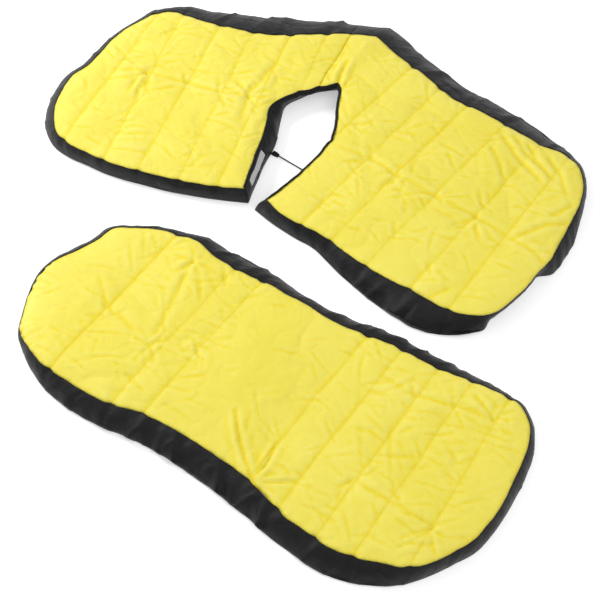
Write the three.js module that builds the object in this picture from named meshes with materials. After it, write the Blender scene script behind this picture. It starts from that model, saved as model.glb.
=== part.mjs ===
// Quilted two-piece cover set for a bench seat: a seat-bottom cover (two lobes
// joined by a bridge behind a centre notch and slit) and a waisted backrest
// cover. Millimetres, +Z up. Both covers lie face up, skirts tucked under.
import * as THREE from 'three';

// ---------------------------------------------------------------- sizes (mm)
const SHIFT = [-22, -116];      // puts the middle of the set's outline on the Z axis
const CUT = 0.4;                // half gap between two portions of a piece, at a fold line
const HEM_T = 2.0;              // hem band: doubled skirt cloth lying on the floor
const SKIRT_T = 1.6;            // skirt cloth, as it stands
const FOOT_Z = 4.4;             // outer foot of the skirt, on top of the hem band
const HEAD_Z = 43.2;            // top of the skirt, at the face seam
const SEAM_GAP = 1.2;           // face edge to skirt
const BELLY = 2.5;              // outward bow of the standing skirt
const LINING = [28.0, 29.5];
const WADDING = [29.8, 41.8];
const FACE = [42.1, 44.0];
const CASING = { gap: 0.4, width: 14, base: 0.2, height: 6.0, wall: 1.2 };
const ELASTIC_D = 3.2;
const CORD_D = 3.0;

// Outline stations, counter-clockwise. Each row: seam of the quilted face (x, y),
// outer foot of the skirt (x, y), inner edge of the hem band below (x, y).
const SEAT = [
  [-323,793,-336,833,-298.6,756.1], [-360,767,-381,793,-329.4,735.7], [-394,737,-415,757,-356.8,706.5], [-422,702,-445,717,-383.3,672.2],
  [-443,662,-471,677,-409.7,636], [-466,623,-495,645,-434.8,602], [-497,592,-526,611,-455,571.1], [-514,550,-543,559,-467.5,540.3],
  [-525,506,-551,509,-472.3,509.1], [-525,461,-546,458,-469.8,480.7], [-513,418,-525,411,-459.1,457.6], [-484,384,-489,378,-438.5,438],
  [-445,360,-448,355,-409,419.2], [-406,338,-409,332,-374.5,401], [-364,319,-367,314,-337.6,384.6], [-322,305,-323,299,-298.9,370.2],
  [-279,290,-281,284,-259.2,357.4], [-235,279,-237,273,-220.1,346.5], [-191,269,-192,263,-189,337], [-150,262,-151,256,-172,334],
  [-114,258,-107,250,-159,340], [-100,317,-88,314,-153,356], [-89,361,-75,357,-144,384], [-77,404,-57,400,-132.1,421.1],
  [-69,449,-48,445,-118,465], [-61,493,-42,482,-92,516], [-28,523,-31,530,-46,566], [-0.9,535.4,6.8,558.1,19.5,596.1],
  [27,545,24,568.5,41,607], [55,553,55,577.5,68,612], [81.9,562.2,93.4,582.1,112,614.1], [86,541,105,546,136,560],
  [80,496,100,495,143,492], [77,451,97,448,137.8,438], [69,406,88,398,123.8,386.5], [49,366,65,354,103,334],
  [22,330,36.5,316,78,292], [-6,294,8,281,50,262], [-36,261,-31,256,24,246], [-68,229,-93,231,17,228],
  [-41,193,-52,190,24,214], [-4,166,-11,156,42,204], [34,142,25,130,74.7,179.1], [68,112,52,96,108.3,143.8],
  [100,80,80,59,138.7,108.1], [134,51,112,24,167.9,75.2], [170,24,146,-12,197.1,45.9], [209,1,182,-41,225.8,21.2],
  [246,-26,216,-67,253.3,2.9], [283,-51,266,-86,280.4,-6.9], [326,-65,324,-85,307.5,-7.1], [369,-60,372,-68,333.5,2.4],
  [404,-33,409,-37,358.8,21.4], [436,0,440,-4,385.6,48.4], [463,36,469,31,413.9,79.7], [492,70,502,64,440.7,111.2],
  [514,110,529,102,463.3,142.3], [535,150,552,142,481.2,175], [555,191,567,185,495.4,210.6], [573,232,581,230,506.9,248.1],
  [582,276,592,276,514.3,284], [576,321,595,329,513.8,316.6], [549,356,573,385,502.6,347], [509,378,541,424,482.8,376.3],
  [475,407,516,456,458.4,404.5], [440,436,483,487,430.3,432.5], [405,465,448,518,398.5,461], [369,492,411,550,365.1,489],
  [332,517,380,571,332.3,516.7], [303,552,356,595,300.9,546.7], [275,588,326,630,269.8,580.6], [245,621,295,666,238.9,617],
  [215,656,268,697,210.1,653.8], [189,692,241,741,186,685.2], [170.9,715.7,207,778,163.7,703.3], [114,723,142,789,118.9,717.4],
  [62.1,723,87.4,797.9,63.4,726.6], [24,722,22,805,16.8,730.9], [-21,720,-23,810,-26,734.6], [-66,720,-57,812,-64.8,738.7],
  [-110,729,-88,817,-102.4,744.1], [-154,742,-128,825,-140.6,750.5], [-196,756,-167,831,-179.9,756.9], [-238,774,-209,837,-220.8,762.5],
  [-279,793,-267,845,-261.9,764.2],
];
// Backrest cover.
const BACK = [
  [-372,153,-382,177,-350.1,92.9], [-404,122,-421,142,-376.8,77.2], [-440,96,-455,118,-405.9,55.2], [-478,72,-493,91,-432.3,33.1],
  [-509,40,-526,51,-450,10.5], [-526,-1,-539,3,-459.3,-16.2], [-534,-45,-545,-44,-462.9,-45.3], [-535,-89,-544,-91,-460.4,-73.5],
  [-516,-130,-525,-135,-450.1,-101.8], [-490,-166,-502,-176,-433,-131.3], [-458,-196,-473,-215,-411.2,-159.3], [-421,-222,-438,-247,-385.2,-184.1],
  [-384,-247,-400,-275,-354.7,-205.9], [-344,-267,-357,-298,-319.4,-226], [-301,-281,-316,-316,-280.5,-246.2], [-261,-301,-281,-336,-240.5,-268.3],
  [-223,-324,-245,-358,-202.1,-292.4], [-186,-349,-211,-383,-167.7,-316.6], [-157.7,-370.3,-181,-406.2,-138,-340], [-115,-403,-143,-436,-96.5,-372.9],
  [-82,-434,-113,-464,-59.6,-404.5], [-52,-467,-81,-492,-26.2,-435], [-24,-501,-48,-526,6.3,-464.3], [12,-528,-9,-556,38,-490.4],
  [47,-556,29,-585,69,-511], [88,-574,77,-605,99.2,-524.3], [131,-586,125,-613,129.2,-529.7], [175,-595,175,-610,159.3,-527.3],
  [218,-587,221,-594,190.2,-517.7], [259,-568,262,-573,220.8,-503], [297,-544,302,-550,248.1,-484.8], [326,-511,333,-516,271.1,-461.8],
  [352,-474,360,-478,292,-433], [373,-434,383,-439,311.5,-400.5], [392,-393,404,-398,328,-368], [409,-352,421,-355,339.3,-338.8],
  [415,-307,427,-306,342.9,-315.1], [399,-267,413,-256,336.3,-295.7], [362,-241,376,-219,318.2,-276.6], [323,-220,338,-189,290,-255.3],
  [282,-202,300,-166,256.3,-232.6], [243,-180,265,-143,220.6,-209.5], [205,-156,228,-119,184.4,-186.5], [167,-132,189,-94,147.7,-164.5],
  [127,-113,146,-72,109.4,-143.8], [86,-93,108,-54,67.1,-121.6], [41.1,-64.4,63,-30.6,21,-95.3], [14,-41,36,-11,-14.7,-71.9],
  [-23,-16,-1,16,-50.7,-44.5], [-60,10,-36,48,-85.7,-16.4], [-99,31,-72,75,-118.3,8.9], [-136,56,-105,99,-150.4,31.6],
  [-172,83,-139,118,-183.2,53.3], [-201,117,-177,149,-217.1,72.6], [-242,134,-230,165,-252.9,86.6], [-284,149,-278,177,-289.4,94.9],
  [-328,153,-327,179,-322.5,97.9],
];

// Stations that lie on a fold line.
const NOTCH_L1 = 27, NOTCH_L = 30, REAR_L = 74, REAR_L1 = 76;
const SLIT_LEFT = 20, SLIT_RIGHT = 39;
const WAIST_FRONT = 18, WAIST_REAR = 46;

// ------------------------------------------------------------------- colours
const cloth = (color, roughness) => new THREE.MeshStandardMaterial({ color, roughness, metalness: 0 });
const YELLOW = () => cloth(0xf2e24a, 0.85);
const BLACK = () => cloth(0x25262a, 0.9);
const GREY = () => cloth(0x9a9690, 0.95);
const WHITE = () => cloth(0xece9df, 0.95);
const RUBBER = () => cloth(0x17171a, 0.8);

// -------------------------------------------------------------------- helpers
const lerp = (a, b, t) => a.map((v, i) => v + (b[i] - v) * t);
const unit = (x, y) => { const l = Math.hypot(x, y); return [x / l, y / l]; };

// Station at a fractional position along a closed table.
function station(table, s) {
  const n = table.length, i = Math.floor(s), t = s - i;
  const a = table[((i % n) + n) % n];
  if (t < 1e-9) return a.slice();
  return lerp(a, table[(((i + 1) % n) + n) % n], t);
}

// Stations from s0 to s1, both fractional, s1 past s0. cutStart / cutEnd move the
// end stations off their fold line by CUT, towards the middle of the run.
function run(table, s0, s1, cutStart, cutEnd) {
  const rows = [station(table, s0)];
  for (let i = Math.floor(s0) + 1; i < s1 - 1e-9; i++) {
    if (i - s0 > 1e-9) rows.push(station(table, i));
  }
  rows.push(station(table, s1));
  const off = (row, next) => {
    const [dx, dy] = unit(row[2] - row[4], row[3] - row[5]);   // along the fold line
    let nx = -dy, ny = dx;
    if ((next[2] - row[2]) * nx + (next[3] - row[3]) * ny < 0) { nx = -nx; ny = -ny; }
    return row.map((v, i) => v + CUT * (i % 2 ? ny : nx));
  };
  if (cutStart) rows[0] = off(rows[0], rows[1]);
  if (cutEnd) rows[rows.length - 1] = off(rows[rows.length - 1], rows[rows.length - 2]);
  return rows;
}

// Closed solid lofted through rings of k points, ends capped.
function loft(rings, closedLoop = false) {
  const k = rings[0].length, n = rings.length, pos = [], idx = [];
  for (const r of rings) for (const p of r) pos.push(p[0], p[1], p[2]);
  const quad = (a, b, c, d) => idx.push(a, b, c, a, c, d);
  const last = closedLoop ? n : n - 1;
  for (let i = 0; i < last; i++) {
    const j = (i + 1) % n;
    for (let m = 0; m < k; m++) {
      const q = (m + 1) % k;
      if (k === 6 && (m === 3 || m === 4)) quad(i * k + q, j * k + q, j * k + m, i * k + m);
      else quad(i * k + m, i * k + q, j * k + q, j * k + m);
    }
  }
  if (!closedLoop && k === 6) {
    const b = (n - 1) * k;
    quad(0, 5, 4, 1); quad(1, 4, 3, 2);
    quad(b, b + 1, b + 4, b + 5); quad(b + 1, b + 2, b + 3, b + 4);
  } else if (!closedLoop) {
    for (let m = 1; m < k - 1; m++) {
      idx.push(0, m + 1, m);
      const b = (n - 1) * k;
      idx.push(b, b + m, b + m + 1);
    }
  }
  return solid(pos, idx);
}

// Rectangular tube through stations: outer and inner ring of four, open bore.
function tube(frames) {
  const n = frames.length, pos = [], idx = [];
  for (const f of frames) for (const p of [...f.outer, ...f.inner]) pos.push(...p);
  const quad = (a, b, c, d) => idx.push(a, b, c, a, c, d);
  for (let i = 0; i < n - 1; i++) {
    const a = i * 8, b = a + 8;
    for (let m = 0; m < 4; m++) {
      const q = (m + 1) % 4;
      quad(a + m, a + q, b + q, b + m);
      quad(a + 4 + q, a + 4 + m, b + 4 + m, b + 4 + q);
    }
  }
  for (let m = 0; m < 4; m++) {
    const q = (m + 1) % 4, e = (n - 1) * 8;
    quad(q, m, 4 + m, 4 + q);
    quad(e + m, e + q, e + 4 + q, e + 4 + m);
  }
  return solid(pos, idx);
}

// Geometry from an indexed soup, turned so that its faces look outward.
function solid(pos, idx) {
  let v = 0;
  const P = (i) => [pos[3 * i], pos[3 * i + 1], pos[3 * i + 2]];
  for (let i = 0; i < idx.length; i += 3) {
    const a = P(idx[i]), b = P(idx[i + 1]), c = P(idx[i + 2]);
    v += a[0] * (b[1] * c[2] - b[2] * c[1]) - a[1] * (b[0] * c[2] - b[2] * c[0]) + a[2] * (b[0] * c[1] - b[1] * c[0]);
  }
  if (v < 0) for (let i = 0; i < idx.length; i += 3) { const t = idx[i]; idx[i] = idx[i + 1]; idx[i + 1] = t; }
  const g = new THREE.BufferGeometry();
  g.setAttribute('position', new THREE.Float32BufferAttribute(pos, 3));
  g.setIndex(idx);
  g.computeVertexNormals();
  return g;
}

// Flat layer of the padded panel, from z0 to z1, inside the face seam.
function layer(points, [z0, z1]) {
  const shape = new THREE.Shape(points.map(([x, y]) => new THREE.Vector2(x, y)));
  const g = new THREE.ExtrudeGeometry(shape, { depth: z1 - z0, bevelEnabled: false, curveSegments: 1 });
  g.translate(0, 0, z0);
  return g;
}

// Skirt: a strip of cloth from its foot on the hem band up to the face seam. Round
// the notch (back = true) it hangs straight at the face edge and then runs back
// under the panel to its foot.
function skirt(rows, back = () => false) {
  return loft(rows.map((row) => {
    const [sx, sy, ox, oy] = row, away = back(row) ? -1 : 1;
    const [ux, uy] = unit(ox - sx, oy - sy), dx = ux * away, dy = uy * away;
    const head = SEAM_GAP + SKIRT_T - 0.4, reach = Math.hypot(ox - sx, oy - sy) * away;
    const at = (d, z) => [sx + dx * d, sy + dy * d, z];
    const kneeZ = away < 0 ? 26.4 : (FOOT_Z + HEAD_Z) / 2 + BELLY * 0.6;
    const knee = away < 0 ? head + 1.5 : (head + reach) / 2 + BELLY * 0.8;
    const rise = kneeZ - FOOT_Z, run_ = reach - knee, l = Math.hypot(rise, run_);
    const inX = (SKIRT_T * rise) / l, down = (SKIRT_T * run_) / l;
    if (away < 0) {
      return [
        at(reach, FOOT_Z), at(knee, kneeZ), at(head, HEAD_Z),
        at(SEAM_GAP, HEAD_Z), at(SEAM_GAP + 1.0, kneeZ + 0.9), at(reach - inX, FOOT_Z + Math.min(0, down) * -1),
      ];
    }
    const upper = Math.hypot(HEAD_Z - kneeZ, knee - head);
    const topIn = (SKIRT_T * (HEAD_Z - kneeZ)) / upper, topDown = (SKIRT_T * (knee - head)) / upper;
    return [
      at(reach, FOOT_Z), at(knee, kneeZ), at(head, HEAD_Z),
      at(head - topIn, HEAD_Z - topDown), at(knee - (inX + topIn) / 2, kneeZ - (down + topDown) / 2), at(reach - inX, FOOT_Z - down),
    ];
  }));
}

// Hem band: the part of the skirt that is tucked under and lies flat.
function hem(rows) {
  return loft(rows.map(([, , ox, oy, ix, iy]) => [
    [ox, oy, 0], [ox, oy, HEM_T], [ix, iy, HEM_T], [ix, iy, 0],
  ]));
}

// Point d mm further in than the hem band's inner edge.
const inboard = ([, , ox, oy, ix, iy], d) => { const [ux, uy] = unit(ix - ox, iy - oy); return [ix + ux * d, iy + uy * d]; };

function casing(rows) {
  const c = CASING;
  return tube(rows.map((r) => {
    const at = (d, z) => [...inboard(r, c.gap + d), c.base + z];
    return {
      outer: [at(0, 0), at(0, c.height), at(c.width, c.height), at(c.width, 0)],
      inner: [at(c.wall, c.wall), at(c.wall, c.height - c.wall), at(c.width - c.wall, c.height - c.wall), at(c.width - c.wall, c.wall)],
    };
  }));
}

function elastic(rows) {
  const c = CASING, r0 = ELASTIC_D / 2, mid = c.gap + c.width / 2, zc = c.base + c.wall + 0.2 + r0;
  return loft(rows.map((r) => {
    const ring = [];
    for (let m = 0; m < 8; m++) {
      const a = Math.PI / 8 + (m * Math.PI) / 4;
      ring.push([...inboard(r, mid + r0 * Math.cos(a)), zc + r0 * Math.sin(a)]);
    }
    return ring;
  }));
}

// -------------------------------------------------------------------- assembly
const group = new THREE.Group();
group.name = 'bench_seat_cover_set';
const object = new THREE.Group();
object.position.set(SHIFT[0], SHIFT[1], 0);
group.add(object);

function put(parent, name, geometry, material) {
  const mesh = new THREE.Mesh(geometry, material);
  mesh.name = name;
  parent.add(mesh);
  return mesh;
}
function part(name) { const g = new THREE.Group(); g.name = name; object.add(g); return g; }

// True where the skirt's foot lies inside the face seam: it is closer to the hem's
// inner edge than the seam is.
const tucked = ([sx, sy, ox, oy, ix, iy]) => (ox - sx) * (ix - sx) + (oy - sy) * (iy - sy) > 0;
const seam = (rows) => rows.map((r) => [r[0], r[1]]);
const n = SEAT.length;
const JOIN = 0.012;             // share of a station step left open where two strips meet

// Seat cover, right lobe: from the notch apex round the lobe to the rear kink.
{
  const g = part('seat_right_portion');
  const all = run(SEAT, NOTCH_L, REAR_L, true, true);
  const notch = run(SEAT, NOTCH_L, SLIT_RIGHT - JOIN, true, false);
  const outer = run(SEAT, SLIT_RIGHT + JOIN, REAR_L, false, true);
  put(g, 'seat_face_right', layer(seam(all), FACE), YELLOW());
  put(g, 'seat_wadding_right', layer(seam(all), WADDING), WHITE());
  put(g, 'seat_lining_right', layer(seam(all), LINING), GREY());
  put(g, 'seat_skirt_right', skirt(outer), BLACK());
  put(g, 'seat_notch_facing_right', skirt(notch, tucked), BLACK());
  put(g, 'seat_hem_band_right', hem(outer), BLACK());
  put(g, 'seat_notch_hem_right', hem(notch), BLACK());
  put(g, 'seat_hem_casing_right', casing(all), BLACK());
  put(g, 'seat_hem_elastic_right', elastic(all), RUBBER());
}

// Seat cover, bridge behind the notch.
{
  const g = part('seat_bridge_portion');
  const notch = run(SEAT, NOTCH_L1, NOTCH_L, true, true);
  const rear = run(SEAT, REAR_L, REAR_L1, true, true);
  const panel = [...seam(notch), ...seam(rear)];
  put(g, 'seat_face_bridge', layer(panel, FACE), YELLOW());
  put(g, 'seat_wadding_bridge', layer(panel, WADDING), WHITE());
  put(g, 'seat_lining_bridge', layer(panel, LINING), GREY());
  put(g, 'seat_skirt_bridge', skirt(rear), BLACK());
  put(g, 'seat_notch_facing_bridge', skirt(notch, tucked), BLACK());
  put(g, 'seat_hem_band_bridge', hem(rear), BLACK());
  put(g, 'seat_notch_hem_bridge', hem(notch), BLACK());
  put(g, 'seat_rear_casing_bridge', casing(rear), BLACK());
  put(g, 'seat_notch_casing_bridge', casing(notch), BLACK());
  put(g, 'seat_rear_elastic_bridge', elastic(rear), RUBBER());
  put(g, 'seat_notch_elastic_bridge', elastic(notch), RUBBER());
}

// Seat cover, left lobe: from the rear of the bridge round the lobe to the notch.
{
  const g = part('seat_left_portion');
  const all = run(SEAT, REAR_L1, n + NOTCH_L1, true, true);
  const outer = run(SEAT, REAR_L1, n + SLIT_LEFT - JOIN, true, false);
  const notch = run(SEAT, n + SLIT_LEFT + JOIN, n + NOTCH_L1, false, true);
  put(g, 'seat_face_left', layer(seam(all), FACE), YELLOW());
  put(g, 'seat_wadding_left', layer(seam(all), WADDING), WHITE());
  put(g, 'seat_lining_left', layer(seam(all), LINING), GREY());
  put(g, 'seat_skirt_left', skirt(outer), BLACK());
  put(g, 'seat_notch_facing_left', skirt(notch, tucked), BLACK());
  put(g, 'seat_hem_band_left', hem(outer), BLACK());
  put(g, 'seat_notch_hem_left', hem(notch), BLACK());
  put(g, 'seat_hem_casing_left', casing(all), BLACK());
  put(g, 'seat_hem_elastic_left', elastic(all), RUBBER());

  // Elastic that leaves the hem at a small tab and crosses the slit.
  const tab0 = [-57.8, 391.2], tab1 = [-47.0, 383.1], far = [33.2, 319.6];
  const [tx, ty] = unit(tab1[0] - tab0[0], tab1[1] - tab0[1]);
  const tab = (d, w, z) => [tab0[0] + tx * d - ty * w, tab0[1] + ty * d + tx * w, z];
  const tl = Math.hypot(tab1[0] - tab0[0], tab1[1] - tab0[1]);
  put(g, 'slit_cord_tab', loft([0.6, tl].map((d) => [
    tab(d, -5, 0.3), tab(d, 5, 0.3), tab(d, 5, 6.1), tab(d, -5, 6.1),
  ])), BLACK());
  const zc = 3.2, ring = (d) => {
    const out = [];
    for (let m = 0; m < 8; m++) {
      const a = Math.PI / 8 + (m * Math.PI) / 4;
      const w = (CORD_D / 2) * Math.cos(a), z = zc + (CORD_D / 2) * Math.sin(a);
      out.push([tab1[0] + tx * d - ty * w, tab1[1] + ty * d + tx * w, z]);
    }
    return out;
  };
  const cl = Math.hypot(far[0] - tab1[0], far[1] - tab1[1]);
  const rings = [];
  for (let i = 0; i <= 6; i++) rings.push(ring(0.4 + (cl - 0.4) * i / 6));
  put(g, 'slit_cord', loft(rings), RUBBER());
}

// Backrest cover, in two portions that meet at the waist.
for (const [side, s0, s1] of [['left', WAIST_REAR, BACK.length + WAIST_FRONT], ['right', WAIST_FRONT, WAIST_REAR]]) {
  const g = part('back_' + side + '_portion');
  const rows = run(BACK, s0, s1, true, true);
  put(g, 'back_face_' + side, layer(seam(rows), FACE), YELLOW());
  put(g, 'back_wadding_' + side, layer(seam(rows), WADDING), WHITE());
  put(g, 'back_lining_' + side, layer(seam(rows), LINING), GREY());
  put(g, 'back_skirt_' + side, skirt(rows), BLACK());
  put(g, 'back_hem_band_' + side, hem(rows), BLACK());
  put(g, 'back_hem_casing_' + side, casing(rows), BLACK());
  put(g, 'back_hem_elastic_' + side, elastic(rows), RUBBER());
}

export default group;
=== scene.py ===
# Quilted two-piece bench seat cover set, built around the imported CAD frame.
import bpy, math
import numpy as np
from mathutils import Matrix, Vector, geometry


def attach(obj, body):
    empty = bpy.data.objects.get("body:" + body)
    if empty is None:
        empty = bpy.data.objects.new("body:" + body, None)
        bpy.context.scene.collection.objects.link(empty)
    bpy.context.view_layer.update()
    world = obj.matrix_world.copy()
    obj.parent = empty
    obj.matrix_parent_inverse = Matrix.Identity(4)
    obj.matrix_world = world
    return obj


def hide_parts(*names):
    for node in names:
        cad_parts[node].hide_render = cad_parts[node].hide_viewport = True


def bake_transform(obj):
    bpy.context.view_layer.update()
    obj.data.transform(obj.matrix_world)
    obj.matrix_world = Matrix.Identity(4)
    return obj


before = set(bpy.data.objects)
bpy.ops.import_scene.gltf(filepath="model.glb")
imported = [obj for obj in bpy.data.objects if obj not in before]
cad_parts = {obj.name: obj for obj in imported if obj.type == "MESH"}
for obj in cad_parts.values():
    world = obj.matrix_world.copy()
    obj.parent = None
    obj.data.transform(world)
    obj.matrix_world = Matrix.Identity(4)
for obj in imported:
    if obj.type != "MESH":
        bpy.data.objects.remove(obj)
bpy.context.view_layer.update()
MM = 0.001
SHIFT = np.array([-22.0, -116.0])
scene = bpy.context.scene

# Outline stations, mm, counter-clockwise, as in the CAD source:
# face seam (x, y), skirt foot (x, y), inner edge of the hem band (x, y)
SEAT = [
    [-323,793,-336,833,-298.6,756.1], [-360,767,-381,793,-329.4,735.7], [-394,737,-415,757,-356.8,706.5], [-422,702,-445,717,-383.3,672.2], [-443,662,-471,677,-409.7,636],
    [-466,623,-495,645,-434.8,602], [-497,592,-526,611,-455,571.1], [-514,550,-543,559,-467.5,540.3], [-525,506,-551,509,-472.3,509.1], [-525,461,-546,458,-469.8,480.7],
    [-513,418,-525,411,-459.1,457.6], [-484,384,-489,378,-438.5,438], [-445,360,-448,355,-409,419.2], [-406,338,-409,332,-374.5,401], [-364,319,-367,314,-337.6,384.6],
    [-322,305,-323,299,-298.9,370.2], [-279,290,-281,284,-259.2,357.4], [-235,279,-237,273,-220.1,346.5], [-191,269,-192,263,-189,337], [-150,262,-151,256,-172,334],
    [-114,258,-107,250,-159,340], [-100,317,-88,314,-153,356], [-89,361,-75,357,-144,384], [-77,404,-57,400,-132.1,421.1], [-69,449,-48,445,-118,465],
    [-61,493,-42,482,-92,516], [-28,523,-31,530,-46,566], [-0.9,535.4,6.8,558.1,19.5,596.1], [27,545,24,568.5,41,607], [55,553,55,577.5,68,612],
    [81.9,562.2,93.4,582.1,112,614.1], [86,541,105,546,136,560], [80,496,100,495,143,492], [77,451,97,448,137.8,438], [69,406,88,398,123.8,386.5],
    [49,366,65,354,103,334], [22,330,36.5,316,78,292], [-6,294,8,281,50,262], [-36,261,-31,256,24,246], [-68,229,-93,231,17,228],
    [-41,193,-52,190,24,214], [-4,166,-11,156,42,204], [34,142,25,130,74.7,179.1], [68,112,52,96,108.3,143.8], [100,80,80,59,138.7,108.1],
    [134,51,112,24,167.9,75.2], [170,24,146,-12,197.1,45.9], [209,1,182,-41,225.8,21.2], [246,-26,216,-67,253.3,2.9], [283,-51,266,-86,280.4,-6.9],
    [326,-65,324,-85,307.5,-7.1], [369,-60,372,-68,333.5,2.4], [404,-33,409,-37,358.8,21.4], [436,0,440,-4,385.6,48.4], [463,36,469,31,413.9,79.7],
    [492,70,502,64,440.7,111.2], [514,110,529,102,463.3,142.3], [535,150,552,142,481.2,175], [555,191,567,185,495.4,210.6], [573,232,581,230,506.9,248.1],
    [582,276,592,276,514.3,284], [576,321,595,329,513.8,316.6], [549,356,573,385,502.6,347], [509,378,541,424,482.8,376.3], [475,407,516,456,458.4,404.5],
    [440,436,483,487,430.3,432.5], [405,465,448,518,398.5,461], [369,492,411,550,365.1,489], [332,517,380,571,332.3,516.7], [303,552,356,595,300.9,546.7],
    [275,588,326,630,269.8,580.6], [245,621,295,666,238.9,617], [215,656,268,697,210.1,653.8], [189,692,241,741,186,685.2], [170.9,715.7,207,778,163.7,703.3],
    [114,723,142,789,118.9,717.4], [62.1,723,87.4,797.9,63.4,726.6], [24,722,22,805,16.8,730.9], [-21,720,-23,810,-26,734.6], [-66,720,-57,812,-64.8,738.7],
    [-110,729,-88,817,-102.4,744.1], [-154,742,-128,825,-140.6,750.5], [-196,756,-167,831,-179.9,756.9], [-238,774,-209,837,-220.8,762.5], [-279,793,-267,845,-261.9,764.2],
]
BACK = [
    [-372,153,-382,177,-350.1,92.9], [-404,122,-421,142,-376.8,77.2], [-440,96,-455,118,-405.9,55.2], [-478,72,-493,91,-432.3,33.1], [-509,40,-526,51,-450,10.5],
    [-526,-1,-539,3,-459.3,-16.2], [-534,-45,-545,-44,-462.9,-45.3], [-535,-89,-544,-91,-460.4,-73.5], [-516,-130,-525,-135,-450.1,-101.8], [-490,-166,-502,-176,-433,-131.3],
    [-458,-196,-473,-215,-411.2,-159.3], [-421,-222,-438,-247,-385.2,-184.1], [-384,-247,-400,-275,-354.7,-205.9], [-344,-267,-357,-298,-319.4,-226], [-301,-281,-316,-316,-280.5,-246.2],
    [-261,-301,-281,-336,-240.5,-268.3], [-223,-324,-245,-358,-202.1,-292.4], [-186,-349,-211,-383,-167.7,-316.6], [-157.7,-370.3,-181,-406.2,-138,-340], [-115,-403,-143,-436,-96.5,-372.9],
    [-82,-434,-113,-464,-59.6,-404.5], [-52,-467,-81,-492,-26.2,-435], [-24,-501,-48,-526,6.3,-464.3], [12,-528,-9,-556,38,-490.4], [47,-556,29,-585,69,-511],
    [88,-574,77,-605,99.2,-524.3], [131,-586,125,-613,129.2,-529.7], [175,-595,175,-610,159.3,-527.3], [218,-587,221,-594,190.2,-517.7], [259,-568,262,-573,220.8,-503],
    [297,-544,302,-550,248.1,-484.8], [326,-511,333,-516,271.1,-461.8], [352,-474,360,-478,292,-433], [373,-434,383,-439,311.5,-400.5], [392,-393,404,-398,328,-368],
    [409,-352,421,-355,339.3,-338.8], [415,-307,427,-306,342.9,-315.1], [399,-267,413,-256,336.3,-295.7], [362,-241,376,-219,318.2,-276.6], [323,-220,338,-189,290,-255.3],
    [282,-202,300,-166,256.3,-232.6], [243,-180,265,-143,220.6,-209.5], [205,-156,228,-119,184.4,-186.5], [167,-132,189,-94,147.7,-164.5], [127,-113,146,-72,109.4,-143.8],
    [86,-93,108,-54,67.1,-121.6], [41.1,-64.4,63,-30.6,21,-95.3], [14,-41,36,-11,-14.7,-71.9], [-23,-16,-1,16,-50.7,-44.5], [-60,10,-36,48,-85.7,-16.4],
    [-99,31,-72,75,-118.3,8.9], [-136,56,-105,99,-150.4,31.6], [-172,83,-139,118,-183.2,53.3], [-201,117,-177,149,-217.1,72.6], [-242,134,-230,165,-252.9,86.6],
    [-284,149,-278,177,-289.4,94.9], [-328,153,-327,179,-322.5,97.9],
]

# ------------------------------------------------------------------ numpy tools
def hash01(ix, iy, seed):
    h = (ix.astype(np.int64) * 374761393 + iy.astype(np.int64) * 668265263 + seed * 2147483647) & 0xFFFFFFFF
    h = ((h ^ (h >> 13)) * 1274126177) & 0xFFFFFFFF
    h = (h ^ (h >> 16)) & 0xFFFFFFFF
    return h.astype(float) / 4294967295.0


def vnoise(x, y, seed=1):
    """Smooth value noise in -1..1 with unit cells."""
    x0, y0 = np.floor(x), np.floor(y)
    fx, fy = x - x0, y - y0
    ux, uy = fx * fx * fx * (fx * (fx * 6 - 15) + 10), fy * fy * fy * (fy * (fy * 6 - 15) + 10)
    a, b = hash01(x0, y0, seed), hash01(x0 + 1, y0, seed)
    c, d = hash01(x0, y0 + 1, seed), hash01(x0 + 1, y0 + 1, seed)
    return 2 * ((a * (1 - ux) + b * ux) * (1 - uy) + (c * (1 - ux) + d * ux) * uy) - 1


def fbm(x, y, cell, seed=1, octaves=3, gain=0.5):
    v, amp, tot = 0, 1.0, 0.0
    for o in range(octaves):
        v = v + amp * vnoise(x / cell * 2 ** o + 17.3 * o, y / cell * 2 ** o - 9.1 * o, seed + o * 7)
        tot += amp
        amp *= gain
    return v / tot


def inside(P, poly):
    """Even-odd test of points P (n,2) against a closed polygon (m,2)."""
    x, y = P[:, 0][:, None], P[:, 1][:, None]
    out = np.zeros(len(P), bool)
    a, b = poly, np.roll(poly, -1, 0)
    for i in range(0, len(P), 4000):
        xx, yy = x[i:i + 4000], y[i:i + 4000]
        cond = (a[None, :, 1] > yy) != (b[None, :, 1] > yy)
        with np.errstate(divide="ignore", invalid="ignore"):
            xi = a[None, :, 0] + (yy - a[None, :, 1]) * (b[None, :, 0] - a[None, :, 0]) / (b[None, :, 1] - a[None, :, 1])
        out[i:i + 4000] = ((cond & (xx < xi)).sum(1) % 2).astype(bool)
    return out


def seg_dist(P, A, B, want_t=False):
    """Distance of each point to the nearest of the segments A-B (and where along it)."""
    best = np.full(len(P), 1e9)
    which = np.zeros(len(P), int)
    tt = np.zeros(len(P))
    D = B - A
    L2 = (D ** 2).sum(1) + 1e-12
    for i in range(0, len(P), 3000):
        p = P[i:i + 3000]
        t = np.clip(((p[:, None, :] - A[None]) * D[None]).sum(2) / L2[None], 0, 1)
        d = np.linalg.norm(p[:, None, :] - (A[None] + t[:, :, None] * D[None]), axis=2)
        k = d.argmin(1)
        r = np.arange(len(p))
        best[i:i + 3000], which[i:i + 3000], tt[i:i + 3000] = d[r, k], k, t[r, k]
    return (best, which, tt) if want_t else best


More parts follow.
